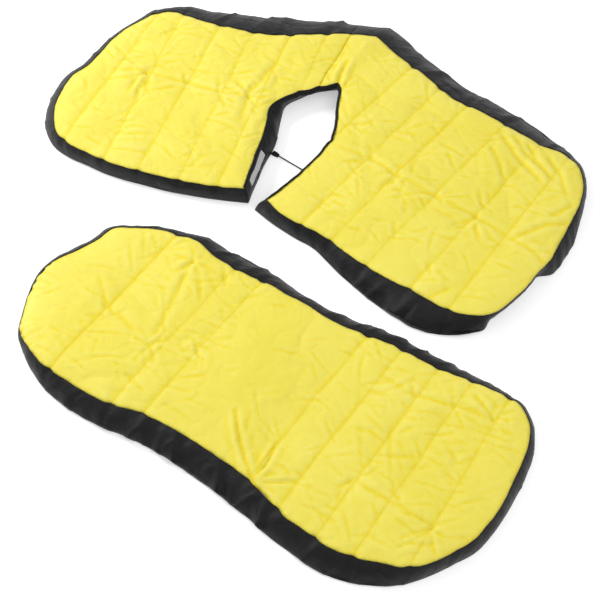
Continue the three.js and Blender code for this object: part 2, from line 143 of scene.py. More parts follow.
def dense_table(table, corners, step=5.5):
    """The stations with Catmull-Rom points between them, about step mm apart. Corners keep their kink."""
    T = np.array(table, float)
    T[:, 0::2] += SHIFT[0]
    T[:, 1::2] += SHIFT[1]
    n = len(T)
    rows, us = [], []
    for i in range(n):
        p0, p1, p2, p3 = T[i - 1], T[i], T[(i + 1) % n], T[(i + 2) % n]
        m1 = (p2 - p0) / 2 if i not in corners else (p2 - p1)
        m2 = (p3 - p1) / 2 if (i + 1) % n not in corners else (p2 - p1)
        seglen = max(np.hypot(*(p2 - p1)[:2]), 0.75 * np.hypot(*(p2 - p1)[2:4]))
        k = max(1, int(round(seglen / step)))
        for j in range(k):
            t = j / k
            h00, h10 = 2 * t ** 3 - 3 * t ** 2 + 1, t ** 3 - 2 * t ** 2 + t
            h01, h11 = -2 * t ** 3 + 3 * t ** 2, t ** 3 - t ** 2
            rows.append(h00 * p1 + h10 * m1 + h01 * p2 + h11 * m2)
            us.append(i + t)
    R = np.array(rows)
    return {"seam": R[:, 0:2], "foot": R[:, 2:4], "inner": R[:, 4:6], "u": np.array(us), "n": n}


def new_mesh(name, verts, faces, smooth=True):
    me = bpy.data.meshes.new(name)
    me.from_pydata([tuple(map(float, v)) for v in verts], [], [tuple(int(i) for i in f_) for f_ in faces])
    me.update()
    if smooth:
        me.polygons.foreach_set("use_smooth", [True] * len(me.polygons))
    ob = bpy.data.objects.new(name, me)
    scene.collection.objects.link(ob)
    return ob


# ------------------------------------------------------------------ quilting (row frame, mm)
BACK_LINES = [
    ((-464, -271), (-292, -18)), ((-369, -385), (-169, -95)), ((-301, -394), (-130, -149)),
    ((-22, -411), (101, -236)), ((-22, -542), (168, -265)), ((2, -657), (230, -312)),
    ((75, -677), (291, -342)), ((169, -698), (355, -382))]
SEAT_LINES = [
    ((80, 324), (218, 491)), ((129, 237), (278, 428)), ((45, 12), (332, 374)), ((109, -56), (406, 314)),
    ((190, -117), (479, 262)), ((260, -169), (535, 224)),
    ((-410, 528), (-362, 634)), ((-433, 223), (-290, 660)), ((-358, 196), (-206, 621)),
    ((-273, 164), (-133, 596)), ((-194, 148), (-72, 516)), ((-22, 420), (37, 600)), ((20, 436), (118, 664))]
SPLIT_SEAT = 12        # the quilting line where the seat cover's left and right meshes meet
# fold creases left by packing: polylines, depth in mm (negative: valley), half width in mm
SEAT_CREASES = [
    ([(45, 262), (128, 220), (180, 171), (257, 116), (332, 65), (399, 3)], -1.6, 5.0),
    ([(-432, 491), (-355, 480), (-270, 452), (-199, 420), (-133, 403)], -1.8, 6.0),
    ([(58, 432), (66, 470), (84, 515)], -4.5, 4.2), ([(66, 470), (134, 584)], 2.5, 16.0),
    ([(-72, 516), (-133, 403), (-150, 330)], -2.0, 7.0),
    ([(272, -117), (189, -159)], -2.0, 8.0),
    ([(400, 300), (425, 235), (470, 160)], -2.6, 5.0), ([(430, 285), (450, 230), (480, 190)], -2.2, 4.5), ([(455, 262), (470, 215), (505, 150)], -2.4, 5.0),
    ([(375, 265), (390, 215), (399, 150)], -1.8, 4.5), ([(490, 230), (512, 180), (520, 120)], -2.0, 5.0), ([(399, 3), (470, 40), (540, 50)], -2.4, 5.0),
    ([(399, 3), (440, -30), (470, -75)], -1.8, 5.0), ([(480, 60), (530, 95)], -2.2, 5.0)]
BACK_CREASES = [
    ([(124, -323), (188, -368), (256, -390), (327, -420)], -1.5, 6.0),
    ([(67, -546), (129, -584), (204, -635)], -2.0, 6.0),
    ([(-303, -258), (-270, -160), (-233, -54), (-169, -95)], -1.4, 6.0),
    ([(-140, -402), (-128, -470), (-107, -545), (-58, -611)], -4.2, 3.4),
    ([(-61, -468), (-82, -512), (-106, -544)], -3.8, 3.2), ([(-330, -230), (-420, -120)], -1.6, 7.0)]
# star puckers: centre, radius, height
SEAT_STARS = [((128, 220), 42, 1.6), ((180, 171), 34, 1.2), ((257, 116), 42, 1.6), ((332, 65), 44, 2.0),
              ((-355, 480), 55, 2.4), ((-270, 452), 30, 1.4), ((-133, 403), 52, 2.2), ((-199, 420), 36, 1.6), ((60, 425), 40, 1.8)]
BACK_STARS = [((-169, -95), 46, 1.8), ((-233, -54), 34, 1.6), ((-107, -545), 60, 2.2), ((204, -635), 50, 2.0),
              ((67, -546), 34, 1.4), ((188, -368), 30, 1.2), ((327, -420), 48, 2.0), ((256, -390), 34, 1.2), ((-303, -258), 40, 1.6), ((-215, -271), 30, 1.2)]

SEAM_Z = 37.0
# where the seat cover's skirt is drawn in under the seam, row frame, mm
CORNER_THIN = ((328, -182), (468, -47))
# larger pleats in the skirts: foot point x, y, height of the lap, its width (sign: which side is slack), lean
PLACED = {
    "seat": [(282, 416, 5.0, 34, 18), (503, 287, 5.5, -30, -16), (191, -131, 5.0, 36, 20), (112, -60, 4.0, -30, 14)],
    "back": [(-241, -485, 6.5, 34, -22), (-160, -549, 7.5, 36, -26), (-128, -575, 6.0, -24, 18), (-59, -593, 6.5, 30, -20), (-330, -440, 6.0, 34, 16), (20, -640, 4.5, 30, 14)]}


def extend_line(a, b, poly):
    """The stitch line through a-b, run on both ways to the seam polygon."""
    a, b = np.array(a, float), np.array(b, float)
    d = (b - a) / np.linalg.norm(b - a)
    m = (a + b) / 2
    p, q = poly, np.roll(poly, -1, 0)
    e = q - p
    den = d[0] * e[:, 1] - d[1] * e[:, 0]
    with np.errstate(divide="ignore", invalid="ignore"):
        w = p - m
        t = (w[:, 0] * e[:, 1] - w[:, 1] * e[:, 0]) / den
        u = (w[:, 0] * d[1] - w[:, 1] * d[0]) / den
    ok = (np.abs(den) > 1e-9) & (u >= 0) & (u < 1)
    ts = t[ok]
    lo, hi = ts[ts < 0].max(), ts[ts > 0].min()
    # slight hand-sewn bow, so that no line is ruler straight
    L = hi - lo
    n = max(3, int(round(L / 6.0)))
    s = np.linspace(lo, hi, n + 1)
    pts = m + s[:, None] * d
    nrm = np.array([-d[1], d[0]])
    bow = 2.2 * vnoise(s / 90.0 + m[0], s * 0 + m[1] / 37.0, 5) * np.sin(np.pi * (s - lo) / L)
    return pts + bow[:, None] * nrm


def build_panel(tag, tab, lines, h):
    """Triangulated quilted face: seam loop, stitch lines and an even field between them."""
    poly = tab["seam"]
    N = len(poly)
    pts = [tuple(p) for p in poly]
    edges = [(i, (i + 1) % N) for i in range(N)]
    stitched = []
    for a, b in lines:
        L = extend_line(a, b, poly)
        i0 = int(np.linalg.norm(poly - L[0], axis=1).argmin())
        i1 = int(np.linalg.norm(poly - L[-1], axis=1).argmin())
        L[0], L[-1] = poly[i0], poly[i1]
        ids = [i0]
        for p in L[1:-1]:
            ids.append(len(pts))
            pts.append(tuple(p))
        ids.append(i1)
        edges += list(zip(ids[:-1], ids[1:]))
        stitched.append(L)
    A = np.vstack([l[:-1] for l in stitched])
    B = np.vstack([l[1:] for l in stitched])
    lo, hi = poly.min(0), poly.max(0)
    xs = np.arange(lo[0], hi[0], h)
    ys = np.arange(lo[1], hi[1], h * 0.866)
    gx, gy = np.meshgrid(xs, ys)
    gx = gx + (np.arange(len(ys)) % 2)[:, None] * h / 2
    g = np.c_[gx.ravel(), gy.ravel()]
    g += np.c_[vnoise(g[:, 0] * 3.1, g[:, 1] * 2.7, 11), vnoise(g[:, 0] * 2.9, g[:, 1] * 3.3, 12)] * h * 0.16
    g = g[inside(g, poly)]
    db = seg_dist(g, poly, np.roll(poly, -1, 0))
    ds = seg_dist(g, A, B)
    g = g[(db > 0.62 * h) & (ds > 0.55 * h)]
    pts += [tuple(p) for p in g]
    res = geometry.delaunay_2d_cdt([Vector(p) for p in pts], edges, [], 0, 1e-4, True)
    V = np.array([tuple(v) for v in res[0]])
    F = np.array([f_ for f_ in res[2] if len(f_) == 3])
    cen = V[F].mean(1)
    F = F[inside(cen, poly)]
    used = np.unique(F)
    remap = -np.ones(len(V), int)
    remap[used] = np.arange(len(used))
    V, F = V[used], remap[F]
    a, b, c = V[F[:, 0]], V[F[:, 1]], V[F[:, 2]]
    neg = ((b - a)[:, 0] * (c - a)[:, 1] - (b - a)[:, 1] * (c - a)[:, 0]) < 0
    F[neg] = F[neg][:, ::-1]
    return V, F, stitched, A, B


def one_crease(V, c, a0, L, bend, wd_, amp, dz):
    """Adds one crease that starts at c and runs in direction a0."""
    m = np.abs(V - c).max(1) < L * 1.2 + 20
    if not m.any():
        return
    x, y = (V[m] - c).T
    u = x * math.cos(a0) + y * math.sin(a0)
    v = -x * math.sin(a0) + y * math.cos(a0) - bend * u * u / L
    tt = np.clip(u / L, 0, 1)
    along = np.sin(np.pi * np.clip(0.12 + 0.88 * tt, 0, 1)) ** 0.7 * np.clip((u + wd_) / wd_, 0, 1) * (u < L)
    w_ = wd_ * (0.7 + 0.8 * tt)
    prof = -np.exp(-np.abs(v) / w_) + 0.55 * np.exp(-((np.abs(v) - 2.3 * w_) / (1.5 * w_)) ** 2) * np.where(v > 0, 1.25, 0.6)
    dz[m] += amp * prof * along


def stars(V, S):
    """Puckers where a packing fold crosses the stitching: uneven creases running out from one point."""
    dz = np.zeros(len(V))
    rng = np.random.default_rng(77)
    for (cx, cy), R, a in S:
        k = int(rng.integers(5, 9))
        angles = np.sort(rng.uniform(0, 2 * math.pi, k))
        for t in angles:
            one_crease(V, np.array([cx, cy]) + rng.normal(0, 2.0, 2), t, R * rng.uniform(0.6, 1.7), rng.uniform(-0.35, 0.35),
                       rng.uniform(2.2, 4.4), a * rng.uniform(0.4, 1.15), dz)
        r = np.hypot(V[:, 0] - cx, V[:, 1] - cy)
        dz -= 0.8 * a * np.exp(-(r / (0.2 * R)) ** 2)
    return dz


def creases(V, C):
    dz = np.zeros(len(V))
    for k, (pl, a, w) in enumerate(C):
        P = np.array(pl, float)
        d, i, t = seg_dist(V, P[:-1], P[1:], True)
        s = (i + t) / (len(P) - 1)
        fade = np.clip(np.minimum(s, 1 - s) * 8, 0, 1) * 0.75 + 0.25
        jag = 1 + 0.35 * fbm(V[:, 0], V[:, 1], 22, 31 + k)
        dz += a * fade * jag * np.exp(-np.abs(d) / w)
        dz += -0.55 * a * fade * np.exp(-((d - 2.4 * w) / (1.7 * w)) ** 2)
    return dz


def random_creases(V, ds, db, A, B, seed, count):
    """Small packing creases: short valleys with a low lip each side, mostly running out from the stitching."""
    rng = np.random.default_rng(seed)
    dz = np.zeros(len(V))
    near = np.nonzero((ds < 26) & (db > 14))[0]
    far = np.nonzero(db > 18)[0]
    for k in range(count):
        i = rng.choice(near) if rng.random() < 0.72 else rng.choice(far)
        c = V[i]
        d0, j, _ = seg_dist(c[None], A, B, True)
        t = B[j[0]] - A[j[0]]
        a0 = math.atan2(t[1], t[0]) + rng.choice([1, -1]) * math.radians(rng.uniform(28, 95))
        L = rng.uniform(22, 74) * (1.6 if rng.random() < 0.2 else 1)
        bend = rng.uniform(-0.22, 0.22)
        wd_ = rng.uniform(2.2, 4.2)
        amp = rng.uniform(0.35, 1.35) * (1.7 if rng.random() < 0.12 else 1)
        one_crease(V, c, a0, L, bend, wd_, amp, dz)
    return dz


def cloth_puff(tag, V, F, tab, A, B, frames):
    """Puffs the quilted face with Blender's cloth: seam and stitches held, cloth cut a little larger than the panel."""
    poly = tab["seam"]
    db = seg_dist(V, poly, np.roll(poly, -1, 0))
    ds = seg_dist(V, A, B)
    # a soft, uneven bed of wadding: rises from the seam, and lies in broad swells
    j = np.linalg.norm(V[:, None, :] - poly[None, ::4, :], axis=2).argmin(1) * 4
    zs = tab["zs"][j]
    rise = SEAM_Z + 6.0 - zs
    bed = zs + rise * (1 - np.exp(-db / (10.0 + 0.3 * (44 - zs))))
    bed = bed + (3.6 * fbm(V[:, 0], V[:, 1], 150, 41, 2) + 2.1 * fbm(V[:, 0], V[:, 1], 62, 45, 2)) * np.clip(db / 40, 0, 1)
    stitch = ds < 0.01
    seam = db < 0.01
    deep = 0.7 + 2.4 * np.clip(0.25 + fbm(V[:, 0], V[:, 1], 80, 47, 2), 0, 1)
    z = bed - deep * np.exp(-(ds / 5.5) ** 1.4) * np.clip(db / 12, 0, 1)
    z = z + 0.5 * fbm(V[:, 0], V[:, 1], 26, 51, 3) * np.clip(db / 10, 0, 1) * np.clip(ds / 8, 0, 1)
    K = 10.0   # the simulation runs at ten times size, where the solver is happiest
    ob = new_mesh(tag + "_sim", np.c_[V, z] * MM * K, F)
    pin = ob.vertex_groups.new(name="pin")
    pin.add([int(i) for i in np.nonzero(stitch | seam)[0]], 1.0, "REPLACE")
    shr = ob.vertex_groups.new(name="shrink")
    near = np.exp(-(np.minimum(ds, db * 1.2) / 20.0) ** 2)
    wide = np.clip((ds - 52) / 40, 0, 1)
    wgt = np.clip(0.34 + 0.66 * near - 0.34 * wide, 0, 1)
    for q in range(11):
        ids = np.nonzero(np.round(wgt * 10) == q)[0]
        if len(ids):
            shr.add([int(i) for i in ids], q / 10.0, "REPLACE")
    m = ob.modifiers.new("Cloth", "CLOTH")
    s = m.settings
    s.quality = 6
    s.mass = 0.15
    s.tension_stiffness = 40
    s.compression_stiffness = 30
    s.shear_stiffness = 12
    s.bending_stiffness = 0.35
    s.tension_damping = 8
    s.compression_damping = 8
    s.shear_damping = 8
    s.bending_damping = 0.6
    s.air_damping = 3
    s.vertex_group_mass = "pin"
    s.vertex_group_shrink = "shrink"
    s.shrink_min = 0.0
    s.shrink_max = -0.019
    s.effector_weights.gravity = 1.0
    m.collision_settings.use_collision = False
    m.collision_settings.use_self_collision = False
    m.point_cache.frame_start = 1
    m.point_cache.frame_end = frames + 1
    grav = scene.gravity.copy()
    scene.gravity = (0, 0, 1.7)      # the wadding pushes the cloth up
    for fr in range(1, frames + 1):
        scene.frame_set(fr)
    ev = ob.evaluated_get(bpy.context.evaluated_depsgraph_get())
    co = np.empty(len(ev.data.vertices) * 3, np.float32)
    ev.data.vertices.foreach_get("co", co)
    co = co.reshape(-1, 3).astype(float) / (MM * K)
    scene.gravity = grav
    scene.frame_set(1)
    bpy.data.objects.remove(ob, do_unlink=True)
    return co, db, ds


def shape_seam(tab, lines, seed, dips):
    """Gives the seam the small notches where quilting lines run into it, an uneven run, and its height."""
    p = tab["seam"]
    t = np.roll(p, -2, 0) - np.roll(p, 2, 0)
    t /= np.linalg.norm(t, axis=1)[:, None] + 1e-9
    n = np.c_[t[:, 1], -t[:, 0]]
    zs = np.full(len(p), SEAM_Z) + 1.1 * fbm(p[:, 0], p[:, 1], 70, seed + 2, 2)
    off = 1.3 * fbm(p[:, 0], p[:, 1], 42, seed, 3) + 0.5 * fbm(p[:, 0], p[:, 1], 13, seed + 5, 2)
    for a, b in lines:
        L = extend_line(a, b, p)
        for e in (L[0], L[-1]):
            d = np.linalg.norm(p - e, axis=1)
            off -= 2.6 * np.exp(-(d / 6.5) ** 2)
            off += 1.0 * np.exp(-((d - 20) / 13) ** 2)
            zs -= 1.4 * np.exp(-(d / 8) ** 2)
    # the corners of the notch and the slit stay where they are
    for k in (20, 30, 39) if tab["n"] > 60 else ():
        i = int(np.abs(tab["u"] - k).argmin())
        off *= 1 - np.exp(-(np.linalg.norm(p - p[i], axis=1) / 14) ** 2)
    for (cx, cy), R, a in dips:
        zs -= a * np.exp(-(((p[:, 0] - cx) ** 2 + (p[:, 1] - cy) ** 2) / R ** 2) ** 1.5)
    tab["seam"] = p + n * off[:, None]
    tab["zs"] = zs


seat = dense_table(SEAT, {20, 30, 39, 74})
back = dense_table(BACK, set())
shape_seam(seat, SEAT_LINES, 301, [])
lx = int(back["seam"][:, 0].argmin())
lp = back["seam"][lx].copy()
shape_seam(back, BACK_LINES, 302, [((float(lp[0]), float(lp[1]) + 34), 85, 17.0)])
# at the back cover's left end the face rolls over its edge, and the skirt stands under it
kd = np.exp(-(np.linalg.norm(back["seam"] - (lp + [0, 34]), axis=1) / 85) ** 3)[:, None]
back["foot"] = back["seam"] + (back["foot"] - back["seam"]) * (1 - 0.85 * kd)
# at the seat cover's right front corner the skirt is pulled in under the seam, past the open lip
n_ = len(seat["seam"])
ka = int(np.linalg.norm(seat["seam"] - np.array(CORNER_THIN[0], float), axis=1).argmin())
kb = int(np.linalg.norm(seat["seam"] - np.array(CORNER_THIN[1], float), axis=1).argmin())
if (kb - ka) % n_ > n_ // 2:
    ka, kb = kb, ka
tt_ = ((np.arange(n_) - ka) % n_) / max(1, (kb - ka) % n_)
kc = np.where(tt_ <= 1, np.clip(np.minimum(tt_, 1 - tt_) * 7, 0, 1), 0.0)
kc = kc * kc * (3 - 2 * kc)
ui_ = seat["inner"] - seat["foot"]
bi_ = np.linalg.norm(ui_, axis=1)
seat["foot"] = seat["foot"] + ui_ / (bi_ + 1e-9)[:, None] * (np.minimum(18.0, 0.5 * bi_) * kc)[:, None]
H = 4.8
PANELS = {}
for tag, tab, lines, cr, st in (("seat", seat, SEAT_LINES, SEAT_CREASES, SEAT_STARS), ("back", back, BACK_LINES, BACK_CREASES, BACK_STARS)):
    V, F, stitched, A, B = build_panel(tag, tab, lines, H)
    co, db, ds = cloth_puff(tag, V, F, tab, A, B, 34)
    edge = np.clip(db / 10, 0, 1)
    fine = random_creases(V, ds, db, A, B, 911 if tag == "seat" else 912, 360 if tag == "seat" else 270)
    co[:, 2] += (1.25 * creases(V, cr) + 1.35 * stars(V, st) + fine) * edge
    Vc, Fc, _, _, _ = build_panel(tag, tab, lines, 13.0)
    near_i, zc = [], []
    for i in range(0, len(Vc), 400):
        D = np.linalg.norm(Vc[i:i + 400, None, :] - V[None], axis=2)
        near_i.append(D.argmin(1))
        zc.append(np.where(D < 15, co[None, :, 2], 99).min(1))
    near_i, zc = np.concatenate(near_i), np.concatenate(zc) + 1.6
    top = 50.5
    over = co[:, 2] > top - 4
    co[over, 2] = top - 4 + 4 * np.tanh((co[over, 2] - top + 4) / 4)
    print(tag, "verts", len(V), "z", co[:, 2].min().round(1), co[:, 2].max().round(1), "mean", co[:, 2].mean().round(1))
    PANELS[tag] = {"V": V, "F": F, "co": co, "lines": stitched, "db": db, "ds": ds, "tab": tab,
                   "Vc": Vc, "Fc": Fc, "zc": zc, "dbc": db[near_i], "dsc": ds[near_i]}

# ------------------------------------------------------------------ materials
def mat_new(name):
    m = bpy.data.materials.new(name)
    m.use_nodes = True
    nt = m.node_tree
    nt.nodes.clear()
    out = nt.nodes.new("ShaderNodeOutputMaterial")
    b = nt.nodes.new("ShaderNodeBsdfPrincipled")
    nt.links.new(b.outputs[0], out.inputs[0])
    return m, nt, b


def node(nt, kind, **kw):
    n = nt.nodes.new(kind)
    for k, v in kw.items():
        if k.startswith("i_"):
            n.inputs[k[2:].replace("_", " ")].default_value = v
        else:
            setattr(n, k, v)
    return n


def math_node(nt, op, a=None, b=None, va=0.5, vb=0.5, clamp=False):
    n = nt.nodes.new("ShaderNodeMath")
    n.operation = op
    n.use_clamp = clamp
    n.inputs[0].default_value, n.inputs[1].default_value = va, vb
    if a is not None:
        nt.links.new(a, n.inputs[0])
    if b is not None:
        nt.links.new(b, n.inputs[1])
    return n.outputs[0]


def weave(nt, threads_per_m, turn=0.6):
    """Height of a plain weave, from the object's own coordinates."""
    tc = node(nt, "ShaderNodeTexCoord")
    mp = node(nt, "ShaderNodeMapping")
    mp.inputs["Rotation"].default_value = (0, 0, turn)
    nt.links.new(tc.outputs["Object"], mp.inputs[0])
    sx = node(nt, "ShaderNodeSeparateXYZ")
    nt.links.new(mp.outputs[0], sx.inputs[0])
    f = threads_per_m * math.pi
    a = math_node(nt, "SINE", math_node(nt, "MULTIPLY", sx.outputs[0], vb=f))
    b = math_node(nt, "SINE", math_node(nt, "MULTIPLY", sx.outputs[1], vb=f))
    h = math_node(nt, "MULTIPLY", a, b)
    return h, mp, tc


def noise(nt, vec, scale, detail=4, rough=0.55):
    n = node(nt, "ShaderNodeTexNoise")
    n.inputs["Scale"].default_value = scale
    n.inputs["Detail"].default_value = detail
    n.inputs["Roughness"].default_value = rough
    nt.links.new(vec, n.inputs["Vector"])
    return n.outputs[0]


def ramp(nt, fac, stops):
    r = node(nt, "ShaderNodeValToRGB")
    els = r.color_ramp.elements
    els[0].position, els[0].color = stops[0][0], (*stops[0][1], 1)
    els[1].position, els[1].color = stops[-1][0], (*stops[-1][1], 1)
    for p, c in stops[1:-1]:
        e = els.new(p)
        e.color = (*c, 1)
    nt.links.new(fac, r.inputs[0])
    return r.outputs[0]


def bump(nt, b, heights):
    """Chains bump nodes: (height socket, strength, distance)."""
    last = None
    for h, strength, dist in heights:
        n = node(nt, "ShaderNodeBump")
        n.inputs["Strength"].default_value = strength
        n.inputs["Distance"].default_value = dist
        nt.links.new(h, n.inputs["Height"])
        if last is not None:
            nt.links.new(last, n.inputs["Normal"])
        last = n.outputs[0]
    nt.links.new(last, b.inputs["Normal"])


def cloth_material(name, dark, mid, light, threads, rough, sheen, sheen_tint, wv=0.25, attr=None, crease=None, turn=0.6, wrinkle=0.25, crinkle=False, spec=0.25):
    m, nt, b = mat_new(name)
    h, mp, tc = weave(nt, threads, turn)
    blot = noise(nt, tc.outputs["Object"], 7, 5)
    fine = noise(nt, tc.outputs["Object"], 160, 3)
    mix = math_node(nt, "ADD", math_node(nt, "MULTIPLY", blot, vb=0.7), math_node(nt, "MULTIPLY", fine, vb=0.3))
    col = ramp(nt, mix, [(0.33, dark), (0.5, mid), (0.68, light)])
    # the threads' own shading
    th = math_node(nt, "MULTIPLY_ADD", h, vb=0.5)
    mt = nt.nodes[-1]
    mt.inputs[2].default_value = 0.5
    mul = node(nt, "ShaderNodeMixRGB", blend_type="MULTIPLY")
    mul.inputs[0].default_value = wv
    nt.links.new(col, mul.inputs[1])
    grey = ramp(nt, th, [(0.0, (0.55, 0.55, 0.55)), (1.0, (1, 1, 1))])
    nt.links.new(grey, mul.inputs[2])
    col = mul.outputs[0]
    # an attribute ramp multiplies the colour: on the yellow face this is painted shade in folds and along the
    # stitching, and painted highlight on ridges
    if attr:
        at = node(nt, "ShaderNodeAttribute", attribute_name=attr)
        tint = ramp(nt, at.outputs["Fac"], crease)
        mx = node(nt, "ShaderNodeMixRGB", blend_type="MULTIPLY")
        mx.inputs[0].default_value = 1.0
        nt.links.new(col, mx.inputs[1])
        nt.links.new(tint, mx.inputs[2])
        col = mx.outputs[0]
    nt.links.new(col, b.inputs["Base Color"])
    b.inputs["Roughness"].default_value = rough
    b.inputs["Sheen Weight"].default_value = sheen
    b.inputs["Sheen Tint"].default_value = (*sheen_tint, 1)
    b.inputs["Sheen Roughness"].default_value = 0.5
    b.inputs["Specular IOR Level"].default_value = spec
    wrk = noise(nt, tc.outputs["Object"], 38, 5, 0.6)
    hs = [(wrk, wrinkle, 0.0035), (h, 0.28, 0.0004), (fine, 0.12, 0.0004)]
    if crinkle:
        # sharp little folds: valleys along the mid-level of broad noises, here and there
        for sc, dist, k in ((7, 0.0036, 14.0), (17, 0.0016, 12.0)):
            n_ = noise(nt, tc.outputs["Object"], sc, 1.5, 0.5)
            v_ = math_node(nt, "ABSOLUTE", math_node(nt, "SUBTRACT", n_, vb=0.5))
            v_ = math_node(nt, "MULTIPLY", v_, vb=k, clamp=True)
            hs.insert(0, (v_, 0.42, dist))
    bump(nt, b, hs)
    return m


# its ramp over the crease attribute: painted highlight, a paler yellow, below 0.4, and painted shade, a deeper, darker
# yellow, above it
YELLOW = cloth_material("yellow_nylon", (0.915, 0.80, 0.115), (0.945, 0.835, 0.145), (0.965, 0.86, 0.18), 1800, 0.55, 0.15, (1, 0.97, 0.7),
                        wv=0.08, attr="crease", crease=[(0.0, (1.0, 1.0, 1.0)), (0.4, (0.985, 0.965, 0.70)), (0.7, (0.965, 0.90, 0.30)), (1.0, (0.93, 0.80, 0.10))], wrinkle=0.16, crinkle=True)
BLACK = cloth_material("charcoal_weave", (0.0035, 0.0035, 0.0036), (0.0050, 0.0050, 0.0051), (0.0085, 0.0085, 0.0088), 1100, 0.52, 0.08, (0.7, 0.7, 0.72), wv=0.35, wrinkle=0.8, crinkle=True, spec=0.24)
TAPE = cloth_material("binding_tape", (0.004, 0.004, 0.0042), (0.0055, 0.0055, 0.0058), (0.008, 0.008, 0.0083), 700, 0.7, 0.06, (0.6, 0.6, 0.62), wv=0.5, wrinkle=0.1, turn=0.2)
LINING = cloth_material("grey_lining", (0.52, 0.52, 0.53), (0.60, 0.60, 0.61), (0.67, 0.67, 0.68), 600, 0.85, 0.2, (1, 1, 1), wv=0.12, wrinkle=0.3)
WADDING = cloth_material("white_wadding", (0.70, 0.69, 0.66), (0.78, 0.77, 0.75), (0.85, 0.85, 0.83), 90, 0.95, 0.4, (1, 1, 1), wv=0.05, wrinkle=0.9)
THREAD = cloth_material("yellow_thread", (0.74, 0.60, 0.05), (0.80, 0.66, 0.07), (0.86, 0.73, 0.10), 2600, 0.5, 0.3, (1, 0.95, 0.7), wv=0.4, wrinkle=0.05)
THREAD_BLACK = cloth_material("black_thread", (0.016, 0.016, 0.017), (0.022, 0.022, 0.023), (0.03, 0.03, 0.032), 2600, 0.5, 0.2, (0.7, 0.7, 0.7), wv=0.4, wrinkle=0.05)
CORD = cloth_material("braided_elastic", (0.014, 0.014, 0.015), (0.02, 0.02, 0.021), (0.03, 0.03, 0.032), 850, 0.55, 0.2, (0.7, 0.7, 0.7), wv=0.7, turn=0.78, wrinkle=0.05)


def paint(ob, mat):
    ob.data.materials.clear()
    ob.data.materials.append(mat)
    return ob


def bind(ob):
    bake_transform(ob)
    return ob


def side(P, p, n):
    return (P[:, 0] - p[0]) * n[0] + (P[:, 1] - p[1]) * n[1]


# ------------------------------------------------------------------ faces, wadding and linings
def split_faces(panel, F, V):
    """Two triangle sets either side of the split quilting line, by flood fill across shared edges."""
    L = panel["lines"][SPLIT_SEAT]
    key = {}
    ids = []
    for p in L:
        ids.append(int(np.linalg.norm(V - p, axis=1).argmin()))
    cut = {frozenset(e) for e in zip(ids[:-1], ids[1:])}
    adj = {}
    for i, f_ in enumerate(F):
        for e in ((f_[0], f_[1]), (f_[1], f_[2]), (f_[2], f_[0])):
            k = frozenset((int(e[0]), int(e[1])))
            if k not in cut:
                adj.setdefault(k, []).append(i)
    nb = [[] for _ in F]
    for v in adj.values():
        if len(v) == 2:
            nb[v[0]].append(v[1])
            nb[v[1]].append(v[0])
    start = int(V[F].mean(1)[:, 0].argmin())
    seen = np.zeros(len(F), bool)
    seen[start] = True
    stack = [start]
    while stack:
        for j in nb[stack.pop()]:
            if not seen[j]:
                seen[j] = True
                stack.append(j)
    print("left triangles", seen.sum(), "of", len(F))
    return seen, ~seen


def sub(co, F, mask=None):
    F = F if mask is None else F[mask]
    used = np.unique(F)
    re = -np.ones(len(co), int)
    re[used] = np.arange(len(used))
    return used, re[F]


def slab(name, top, bottom, F, rim_out=0.0):
    """Closed sheet between two height fields over the same triangles."""
    n = len(top)
    edge = {}
    for f_ in F:
        for e in ((f_[0], f_[1]), (f_[1], f_[2]), (f_[2], f_[0])):
            e = (int(e[0]), int(e[1]))
            if (e[1], e[0]) in edge:
                del edge[(e[1], e[0])]
            else:
                edge[e] = 1
    faces = [tuple(f_) for f_ in F] + [(f_[0] + n, f_[2] + n, f_[1] + n) for f_ in F]
    for a, b in edge:
        faces.append((b, a, a + n, b + n))
    return new_mesh(name, np.vstack([top, bottom]) * MM, faces)


# stores painted shade and painted highlight per vertex of the top sheet; the bottom sheet gets the neutral 0.4
def paint_shade_highlight_attr(ob, vals):
    at = ob.data.attributes.new("crease", "FLOAT", "POINT")
    v = np.concatenate([vals, vals * 0 + 0.4])
    at.data.foreach_set("value", v.astype(np.float32))


def vertex_normals(co, F):
    a, b, c = co[F[:, 0]], co[F[:, 1]], co[F[:, 2]]
    fn = np.cross(b - a, c - a)
    N = np.zeros_like(co)
    for k in range(3):
        np.add.at(N, F[:, k], fn)
    return N / (np.linalg.norm(N, axis=1)[:, None] + 1e-12)


